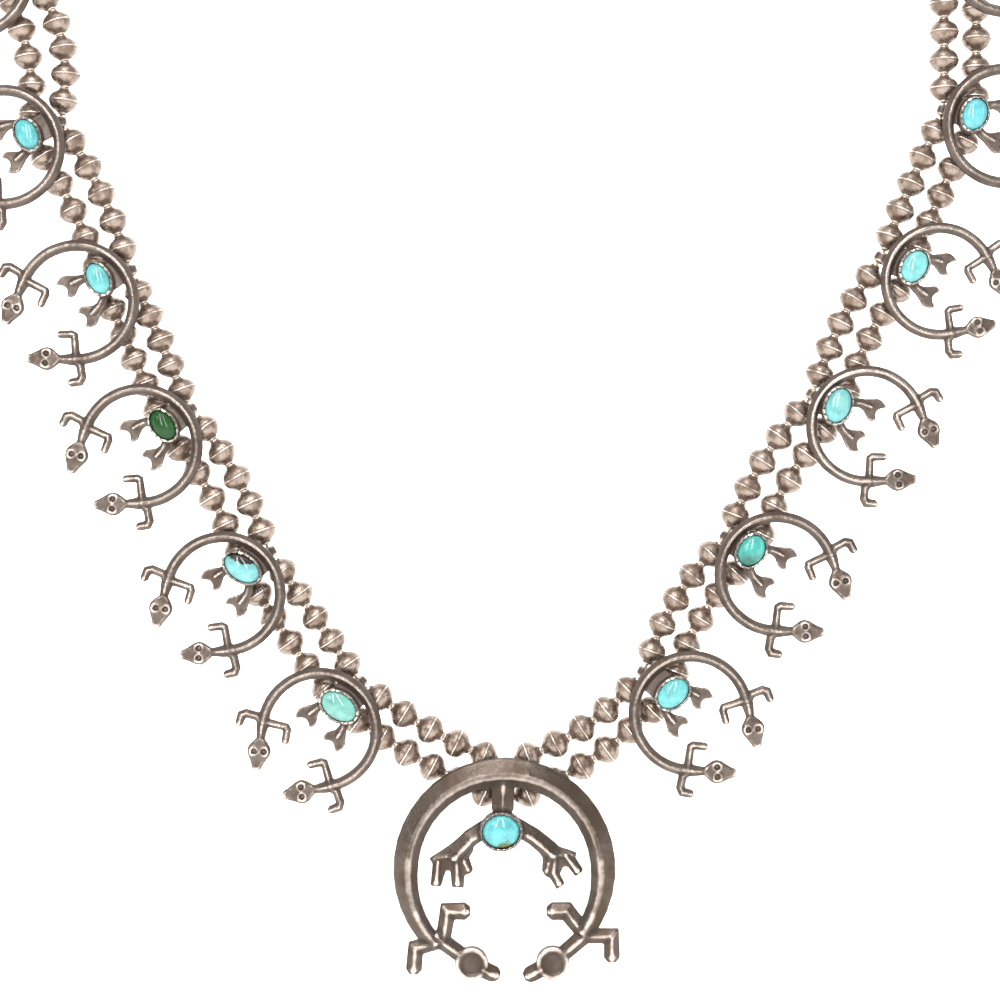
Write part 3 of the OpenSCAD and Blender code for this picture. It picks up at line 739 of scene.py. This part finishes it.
def bezel_tree():
    tree, given, result = geometry_tree("Serrated bezel", BEZEL_INPUTS)
    add, link = tree_maker(tree)
    circle = add("GeometryNodeCurvePrimitiveCircle", mode="RADIUS")
    circle.inputs["Resolution"].default_value = OVAL_STEPS
    circle.inputs["Radius"].default_value = 0.5
    size = add("ShaderNodeCombineXYZ")
    size.inputs["Z"].default_value = 1
    link(given.outputs["Length"], size.inputs["X"])
    link(given.outputs["Width"], size.inputs["Y"])
    oval = add("GeometryNodeTransform")
    link(circle.outputs["Curve"], oval.inputs["Geometry"])
    link(size.outputs[0], oval.inputs["Scale"])
    # the upright section of the strip, from its foot to its rim
    tall = add("ShaderNodeMath", operation="SUBTRACT")
    link(given.outputs["Rim"], tall.inputs[0])
    link(given.outputs["Foot"], tall.inputs[1])
    section = add("GeometryNodeCurvePrimitiveQuadrilateral", mode="RECTANGLE")
    link(given.outputs["Wall"], section.inputs["Width"])
    link(tall.outputs[0], section.inputs["Height"])
    sweep = add("GeometryNodeCurveToMesh")
    sweep.inputs["Fill Caps"].default_value = False
    link(oval.outputs[0], sweep.inputs["Curve"])
    link(section.outputs[0], sweep.inputs["Profile Curve"])
    middle = add("ShaderNodeMath", operation="ADD")
    link(given.outputs["Rim"], middle.inputs[0])
    link(given.outputs["Foot"], middle.inputs[1])
    half = add("ShaderNodeMath", operation="MULTIPLY")
    half.inputs[1].default_value = 0.5
    link(middle.outputs[0], half.inputs[0])
    lift = add("ShaderNodeCombineXYZ")
    link(half.outputs[0], lift.inputs["Z"])
    strip = add("GeometryNodeTransform")
    link(sweep.outputs[0], strip.inputs["Geometry"])
    link(lift.outputs[0], strip.inputs["Translation"])
    # one tooth, a thin wedge that leans over the stone's edge, on each evenly spaced point
    spaced = add("GeometryNodeResampleCurve", mode="COUNT")
    link(oval.outputs[0], spaced.inputs["Curve"])
    link(given.outputs["Teeth"], spaced.inputs["Count"])
    tooth = add("GeometryNodeMeshCone")
    tooth.inputs["Vertices"].default_value = 4
    tooth.inputs["Radius Top"].default_value = TOOTH_TIP_R
    tooth.inputs["Radius Bottom"].default_value = TOOTH_FOOT_R
    link(given.outputs["Tooth"], tooth.inputs["Depth"])
    squared = add("GeometryNodeTransform")
    squared.inputs["Rotation"].default_value = (0, 0, math.radians(45))
    link(tooth.outputs["Mesh"], squared.inputs["Geometry"])
    thin = add("GeometryNodeTransform")
    thin.inputs["Scale"].default_value = (1, TOOTH_THINNED, 1)
    link(squared.outputs[0], thin.inputs["Geometry"])
    tangent = add("GeometryNodeInputTangent")
    turn = add("FunctionNodeAlignRotationToVector", axis="X")
    link(tangent.outputs[0], turn.inputs["Vector"])
    tilt = add("FunctionNodeRotateRotation", rotation_space="LOCAL")
    tilt.inputs["Rotate By"].default_value = (math.radians(TOOTH_LEAN), 0, 0)
    link(turn.outputs[0], tilt.inputs["Rotation"])
    teeth = add("GeometryNodeInstanceOnPoints")
    link(spaced.outputs[0], teeth.inputs["Points"])
    link(thin.outputs[0], teeth.inputs["Instance"])
    link(tilt.outputs[0], teeth.inputs["Rotation"])
    rim = add("ShaderNodeCombineXYZ")
    link(given.outputs["Rim"], rim.inputs["Z"])
    raised = add("GeometryNodeTransform")
    link(teeth.outputs[0], raised.inputs["Geometry"])
    link(rim.outputs[0], raised.inputs["Translation"])
    both = add("GeometryNodeJoinGeometry")
    link(strip.outputs[0], both.inputs[0])
    link(raised.outputs[0], both.inputs[0])
    real = add("GeometryNodeRealizeInstances")
    link(both.outputs[0], real.inputs[0])
    finish = add("GeometryNodeSetMaterial")
    finish.inputs["Material"].default_value = bezel_silver
    link(real.outputs[0], finish.inputs["Geometry"])
    link(finish.outputs[0], result.inputs["Geometry"])
    return tree


serrated_bezel = bezel_tree()
print("bezel nodes:", len(serrated_bezel.nodes))

# %% [markdown]
# The tree is run once for each stone, with the stone's own length and width. The CAD cup stays
# under it as the plate and the cast wall; the strip stands just outside of it. Inputs are set by
# their identifiers, the result is made a plain mesh, and only then is it moved to its place.

# %% Set the bezels
STRIP_OUT = 0.42 * MM
STRIP_WALL = 0.25 * MM
STRIP_FOOT = 0.2 * MM
DOME_RISE = 1.4 * MM
RIM_OVER = 0.1 * MM
RIM_EDGE = 0.02 * MM
TOOTH_PITCH = 1.4 * MM
# tone of the teeth: polish and a painted highlight on the tooth tops
TEETH_POLISH_AND_HIGHLIGHT_TONE = 0.66
PENDANT_TEETH_POLISH_AND_HIGHLIGHT_TONE = 0.45
WEAR_AND_HIGHLIGHT = 0.4
RUB_STEP = 3.7


def run_tree(tree, name, values, mesh=None):
    """Evaluates a geometry tree with the given inputs and returns the object it makes."""
    piece = shown(name, mesh or bpy.data.meshes.new(name))
    nodes = piece.modifiers.new("Nodes", "NODES")
    nodes.node_group = tree
    for socket in tree.interface.items_tree:
        if socket.in_out == "INPUT" and socket.name in values:
            nodes[socket.identifier] = values[socket.name]
    return settled(piece)


def serrated(number, node):
    """The bezel of one stone, its teeth unevenly rubbed and brightened by a painted highlight; number shifts
    the noise that says where.
    """
    matrix, length, width, height = stone_frames[node]
    rim = height - DOME_RISE + RIM_OVER
    piece = run_tree(serrated_bezel, "bezel_" + node, {
        "Length": length + 2 * STRIP_OUT,
        "Width": width + 2 * STRIP_OUT,
        "Wall": STRIP_WALL,
        "Foot": STRIP_FOOT,
        "Rim": rim,
        "Teeth": round(math.pi * (length + width) / 2 / TOOTH_PITCH),
    })
    points = points_of(piece.data)
    start = Vector((RUB_STEP * number, 0, 0))
    wear_and_highlight = np.array([noise.noise(Vector(p) / TOOTH_PITCH + start) for p in points])
    # the teeth take polish and a painted highlight, spread unevenly by noise
    tone = (PENDANT_TEETH_POLISH_AND_HIGHLIGHT_TONE if node == "naja_stone" else TEETH_POLISH_AND_HIGHLIGHT_TONE) + WEAR_AND_HIGHLIGHT * wear_and_highlight
    # the wall under the teeth keeps its tarnish and painted shade
    write_relief(piece.data, np.where(points[:, 2] > rim + RIM_EDGE, tone, WALL_TARNISH_AND_SHADE_TONE))
    piece.data.transform(matrix)
    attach(piece, "root")
    return piece


for number, node in enumerate(STONES):
    piece = serrated(number, node)
print("last bezel's faces:", len(piece.data.polygons))

# %% [markdown]
# The strands are bench beads: two domed cones pressed from sheet, soldered rim to rim, so a
# raised seam runs round the middle, bright with polish and a painted highlight, and a short neck
# stands at each end. They are made by hand, and each one is a little dented. Five beads of
# different dents are turned on a profile here and shared out along the strands. Their relief
# also paints painted shade beside the seam and at the foot of each neck, and a painted glint on
# each neck.

# %% Turn the beads
BEAD_HALF = 3.4 * MM
NECK_R = 1.15 * MM
SEAM_R = 3.8 * MM
BORE_R = 0.85 * MM
BEAD_SIDES = 20
BEAD_KINDS = 5
# waves of the dents round the bead, their depth in mm, and the step between two beads' noises
WIDE_DENT = (1.1, 0.16, 7.3)
SMALL_DENT = (2.6, 0.07, 5.1)
BULGE_MOST = 0.02
# seam relief: polish and a painted highlight on the raised seam
SEAM_POLISH_AND_HIGHLIGHT_TONE = 0.74
SEAM_WEAR_AND_HIGHLIGHT = 0.22
# painted shade in the rows beside the seam
BESIDE_SEAM_SHADE_TONE = 0.3
# painted shade in the crease at the foot of each neck
NECK_FOOT_SHADE_TONE = 0.25
# painted glint on the necks
NECK_GLINT_TONE = 0.75
# share of the half length from the seam, and share of the rise from neck to seam
BEAD_ROWS = [(0.034, 1.0), (0.07, 0.95), (0.2, 0.915), (0.38, 0.82), (0.56, 0.62), (0.71, 0.37),
             (0.80, 0.14), (0.86, 0.03), (0.93, 0.07), (1.0, 0.0)]


def bead_rows():
    rise = SEAM_R - NECK_R
    upper = [(NECK_R + rise * high, BEAD_HALF * along) for along, high in BEAD_ROWS]
    lower = [(radius, -along) for radius, along in reversed(upper)]
    return [(BORE_R, -BEAD_HALF)] + lower + upper + [(BORE_R, BEAD_HALF)]


def dent_at(here, seed):
    """How far a bead is pushed out or in there, in mm."""
    waves, deep, step = WIDE_DENT
    dent = noise.noise(here * waves + Vector((seed * step, 0, 0))) * deep
    waves, deep, step = SMALL_DENT
    dent += noise.noise(here * waves + Vector((0, seed * step, 0))) * deep
    return min(BULGE_MOST, dent)


def turned_bead(name, seed):
    """A bead about Z, its cones a little dented by noise that starts at seed."""
    rows = bead_rows()
    points = []
    for radius, along in rows:
        dome = min(1, max(0, (radius - NECK_R) / (SEAM_R - NECK_R)))
        for side in range(BEAD_SIDES):
            angle = 2 * math.pi * side / BEAD_SIDES
            here = Vector((math.cos(angle), math.sin(angle), along / BEAD_HALF))
            reach = radius + dent_at(here, seed) * MM * dome
            points.append((reach * math.cos(angle), reach * math.sin(angle), along))
    faces = tube_faces(len(rows), BEAD_SIDES)
    last = (len(rows) - 1) * BEAD_SIDES
    for side in range(BEAD_SIDES):
        after = (side + 1) % BEAD_SIDES
        faces.append((last + side, last + after, after, side))
    mesh = bpy.data.meshes.new(name)
    mesh.from_pydata(points, [], faces)
    mesh.shade_smooth()
    relief = np.full(len(points), FLAT_TONE)
    seam_row = rows.index((SEAM_R, BEAD_HALF * BEAD_ROWS[0][0]))
    # the seam's rows: polish and a painted highlight, varied by noise
    for row in (seam_row - 1, seam_row):
        for side in range(BEAD_SIDES):
            wear_and_highlight = noise.noise(Vector((math.cos(side * 0.6) * 2, side * 0.31, seed * 3.7)))
            relief[row * BEAD_SIDES + side] = SEAM_POLISH_AND_HIGHLIGHT_TONE + SEAM_WEAR_AND_HIGHLIGHT * wear_and_highlight
    # beside the seam and at each neck's foot: painted shade; on the necks: a painted glint
    for chosen, tone in (((seam_row - 2, seam_row + 1), BESIDE_SEAM_SHADE_TONE),
                         ((3, 4, -5, -4), NECK_FOOT_SHADE_TONE), ((1, 2, -3, -2), NECK_GLINT_TONE)):
        for row in chosen:
            start = row % len(rows) * BEAD_SIDES
            relief[start:start + BEAD_SIDES] = tone
    write_relief(mesh, relief)
    return bpy.data.objects.new(name, mesh)


bead_kinds = bpy.data.collections.new("Bead kinds")
for seed in range(BEAD_KINDS):
    bead_kinds.objects.link(turned_bead(f"Bead kind {seed}", seed))

# %% [markdown]
# Every bead's place is read from the CAD strand, which holds the beads as loose solids: the
# middle of each one's box is its centre, and its two flat ends give its axis and length. The necks
# of real beads all but touch, so each one reaches a little further than its CAD solid.

# %% Read the strands
END_DEPTH = 0.35 * MM
NECK_REACH = 0.1 * MM


def loose_parts(mesh):
    """The points of each loose solid in a mesh."""
    work = merged(mesh)
    seen = set()
    parts = []
    for seed in work.verts:
        if seed in seen:
            continue
        seen.add(seed)
        stack = [seed]
        part = []
        while stack:
            point = stack.pop()
            part.append(point.co[:])
            for edge in point.link_edges:
                other = edge.other_vert(point)
                if other not in seen:
                    seen.add(other)
                    stack.append(other)
        parts.append(np.array(part))
    work.free()
    return parts


def bead_places(node):
    """Centre, axis and half length of each bead of a strand."""
    parts = loose_parts(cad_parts[node].data)
    centres = np.array([(p.min(0) + p.max(0)) / 2 for p in parts])
    places = []
    for centre, part in zip(centres, parts):
        away = centres - centre
        near = np.argsort((away ** 2).sum(1))
        first, second = away[near[1]], away[near[2]]
        axis = first - second if first @ second < 0 else first
        for _ in range(3):
            axis = axis / np.linalg.norm(axis)
            along = (part - centre) @ axis
            first_end = part[along > along.max() - END_DEPTH]
            last_end = part[along < along.min() + END_DEPTH]
            axis = first_end.mean(0) - last_end.mean(0)
        axis = axis / np.linalg.norm(axis)
        along = (part - centre) @ axis
        places.append((centre, axis, (along.max() - along.min()) / 2 + NECK_REACH))
    return places


strand_nodes = sorted(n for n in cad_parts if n.startswith("beads_"))
strands = {node: bead_places(node) for node in strand_nodes}
lengths = [half / MM for places in strands.values() for _, _, half in places]
print("beads:", {n: len(p) for n, p in strands.items()})
print("half lengths in mm:", round(min(lengths), 2), "to", round(max(lengths), 2))

# %% [markdown]
# Stringing follows a rule, so Geometry Nodes do it. Each point of a strand carries an axis and a
# stretch. The tree sets one of the five beads on it, turned to the axis, spun by a seeded random
# angle about it, and stretched to fit between its neighbours.

# %% Build the stringing tree
def string_tree():
    tree, given, result = geometry_tree("Strung beads", [("Seed", 4)], with_geometry=True)
    add, link = tree_maker(tree)
    kinds = add("GeometryNodeCollectionInfo")
    kinds.inputs["Collection"].default_value = bead_kinds
    kinds.inputs["Separate Children"].default_value = True
    kinds.inputs["Reset Children"].default_value = True
    axis = add("GeometryNodeInputNamedAttribute", data_type="FLOAT_VECTOR")
    axis.inputs["Name"].default_value = "axis"
    stretch = add("GeometryNodeInputNamedAttribute", data_type="FLOAT")
    stretch.inputs["Name"].default_value = "stretch"
    kind = add("FunctionNodeRandomValue", data_type="INT")
    kind.inputs["Min"].default_value = 0
    kind.inputs["Max"].default_value = BEAD_KINDS - 1
    spin = add("FunctionNodeRandomValue", data_type="FLOAT")
    spin.inputs["Min"].default_value = 0
    spin.inputs["Max"].default_value = 2 * math.pi
    for source in (kind, spin):
        link(given.outputs["Seed"], source.inputs["Seed"])
    facing = add("FunctionNodeAlignRotationToVector", axis="Z")
    link(axis.outputs["Attribute"], facing.inputs["Vector"])
    roll = add("FunctionNodeAxisAngleToRotation")
    roll.inputs["Axis"].default_value = (0, 0, 1)
    link(spin.outputs["Value"], roll.inputs["Angle"])
    turned = add("FunctionNodeRotateRotation", rotation_space="LOCAL")
    link(facing.outputs[0], turned.inputs["Rotation"])
    link(roll.outputs[0], turned.inputs["Rotate By"])
    size = add("ShaderNodeCombineXYZ")
    size.inputs["X"].default_value = 1
    size.inputs["Y"].default_value = 1
    link(stretch.outputs["Attribute"], size.inputs["Z"])
    strung = add("GeometryNodeInstanceOnPoints")
    strung.inputs["Pick Instance"].default_value = True
    link(given.outputs["Geometry"], strung.inputs["Points"])
    link(kinds.outputs[0], strung.inputs["Instance"])
    link(kind.outputs["Value"], strung.inputs["Instance Index"])
    link(turned.outputs[0], strung.inputs["Rotation"])
    link(size.outputs[0], strung.inputs["Scale"])
    real = add("GeometryNodeRealizeInstances")
    link(strung.outputs[0], real.inputs[0])
    finish = add("GeometryNodeSetMaterial")
    finish.inputs["Material"].default_value = bead_silver
    link(real.outputs[0], finish.inputs["Geometry"])
    link(finish.outputs[0], result.inputs["Geometry"])
    return tree


stringing = string_tree()


def strand_points(node):
    """A mesh of one point for each bead, with its axis and stretch."""
    places = strands[node]
    mesh = bpy.data.meshes.new(node + " points")
    mesh.from_pydata([tuple(centre) for centre, _, _ in places], [], [])
    axis = mesh.attributes.new("axis", "FLOAT_VECTOR", "POINT")
    axis.data.foreach_set("vector", np.array([a for _, a, _ in places]).astype(np.float32).ravel())
    stretch = mesh.attributes.new("stretch", "FLOAT", "POINT")
    shares = np.array([half / BEAD_HALF for _, _, half in places], dtype=np.float32)
    stretch.data.foreach_set("value", shares)
    return mesh


for seed, node in enumerate(strand_nodes):
    piece = run_tree(stringing, "strung_" + node, {"Seed": seed}, strand_points(node))
    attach(piece, "root")
    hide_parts(node)
    print(node, "faces:", len(piece.data.polygons))

# %% [markdown]
# The wire shows only between the bead necks, as a golden glint. Its CAD shape is right, so the
# node stays and gets a finish of its own. The clasp is out of the photograph: a plain piece
# whose edges are rounded with a bevel.

# %% Finish the wire and the clasp
WIRE_GOLD = (0.50, 0.36, 0.20)
WIRE_BROWN = (0.20, 0.14, 0.08)
CLASP_EDGE = 0.5 * MM
CLASP_EDGE_STEPS = 3
SHARP_ANGLE = math.radians(50)

wire = new_material("Wire")
wire_shader = shader_of(wire)
wire_shader.inputs["Metallic"].default_value = 0.9
wire_shader.inputs["Roughness"].default_value = 0.38
wire_tree = wire.node_tree
wire_tone = group_node(wire_tree, "Tarnish patches", Patches_per_mm=0.4)
wire_colour = mixed(wire_tree, wire_tone.outputs["Mask"], WIRE_GOLD, WIRE_BROWN)
wire_tree.links.new(wire_colour, wire_shader.inputs["Base Color"])
for node in ("thread_inner", "thread_outer"):
    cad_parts[node].data.materials.clear()
    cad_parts[node].data.materials.append(wire)

clasp = clean_copy("clasp", "rounded_clasp")
soft_edge = clasp.modifiers.new("Soft edge", "BEVEL")
soft_edge.width = CLASP_EDGE
soft_edge.segments = CLASP_EDGE_STEPS
soft_edge.limit_method = "ANGLE"
soft_edge.angle_limit = SHARP_ANGLE
settled(clasp)
clasp.data.materials.clear()
clasp.data.materials.append(clasp_silver)
# all its points lie on the rounded edges, so a measured relief would brighten the flats
write_relief(clasp.data, np.full(len(clasp.data.vertices), FLAT_TONE))
clasp.data.shade_smooth()
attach(clasp, "root")
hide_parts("clasp")
print("clasp faces:", len(clasp.data.polygons))
